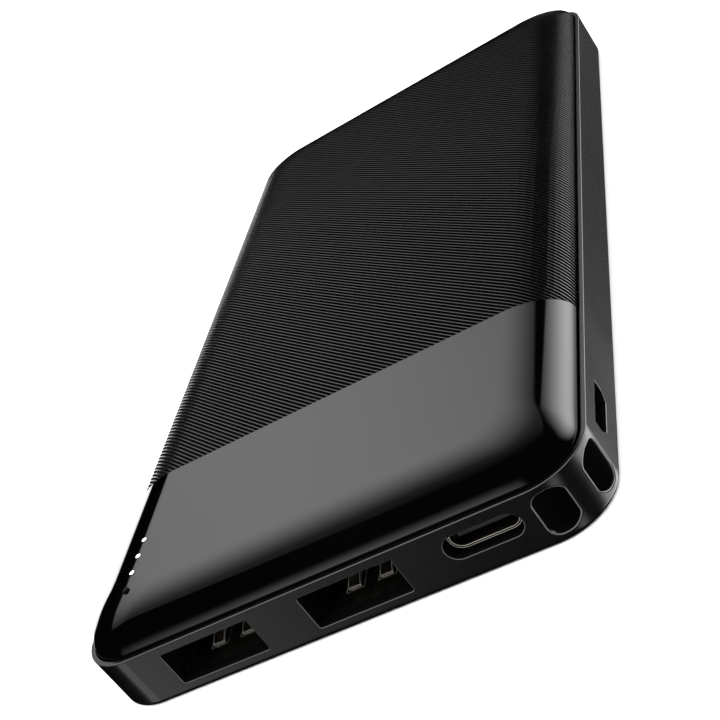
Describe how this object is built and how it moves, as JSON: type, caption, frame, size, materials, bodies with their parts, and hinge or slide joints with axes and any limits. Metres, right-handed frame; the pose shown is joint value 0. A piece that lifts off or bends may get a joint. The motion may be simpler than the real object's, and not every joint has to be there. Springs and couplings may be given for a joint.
{
  "type": "power bank",
  "caption": "Slim rectangular battery pack with a rounded gloss cover, charge lights, charging sockets in one end and side, a corner lanyard passage and a side button.",
  "frame": {"origin": "centre of the flat underside", "axes": "+Z out through the rounded cover, -Y out of the end with the large sockets, +X towards the side with the small input socket"},
  "size_m": [0.069, 0.137, 0.012],
  "materials": {
    "case_black": "satin",
    "cover_gloss": "gloss",
    "button_black": "satin",
    "component_black": "matte",
    "component_white": "satin",
    "tinned_steel": "satin",
    "contact_gold": "polished",
    "tongue_black": "matte",
    "board_green": "satin",
    "clear_guide": "translucent",
    "ferrite_grey": "matte",
    "can_aluminium": "satin",
    "ceramic_tan": "matte",
    "pouch_foil": "satin foil",
    "tape_white": "matte",
    "foam_black": "open foam",
    "nickel": "satin",
    "film_amber": "gloss film",
    "wire_red": "satin",
    "wire_black": "satin"
  },
  "bodies": {
    "housing": {"bottom_shell": "case_black", "top_cover": "cover_gloss", "tact_switch_housing": "component_black", "tact_switch_frame": "tinned_steel", "main_pcb": "board_green", "pcb_screws": "tinned_steel", "usb_a_shell_left": "tinned_steel", "usb_a_tongue_left": "tongue_black", "usb_a_contacts_left": "contact_gold", "usb_a_shell_right": "tinned_steel", "usb_a_tongue_right": "tongue_black", "usb_a_contacts_right": "contact_gold", "usb_c_shell": "tinned_steel", "usb_c_tongue": "tongue_black", "usb_c_contacts": "contact_gold", "micro_usb_shell": "tinned_steel", "micro_usb_tongue": "tongue_black", "micro_usb_contacts": "contact_gold", "status_leds": "component_white", "light_guide": "clear_guide", "light_shield": "component_black", "power_inductor": "ferrite_grey", "inductor_terminals": "tinned_steel", "bulk_capacitors": "can_aluminium", "protection_mosfets": "component_black", "charge_controller_ic": "component_black", "cell_protection_ic": "component_black", "ceramic_capacitors": "ceramic_tan", "chip_resistors": "component_black", "lower_cell": "pouch_foil", "upper_cell": "pouch_foil", "cell_base_tape": "tape_white", "cell_joining_tape": "tape_white", "cell_foam_pad": "foam_black", "cell_tabs_positive": "nickel", "cell_tabs_negative": "nickel", "tab_insulation_tape": "film_amber", "battery_lead_positive": "wire_red", "battery_lead_negative": "wire_black"},
    "button": {"power_button": "button_black"},
    "switch_plunger": {"tact_switch_plunger": "component_white"}
  },
  "joints": [
    {"name": "button_press", "type": "slide", "parent": "housing", "child": "button", "axis": [1, 0, 0], "range_m": [0, 0.00025], "stiffness_N_per_m": 800, "springref_m": -0.0004},
    {"name": "plunger_press", "type": "slide", "parent": "housing", "child": "switch_plunger", "axis": [1, 0, 0], "range_m": [0, 0.00025]}
  ],
  "couplings": [
    {"joint": "plunger_press", "follows": "button_press", "ratio": 1}
  ]
}
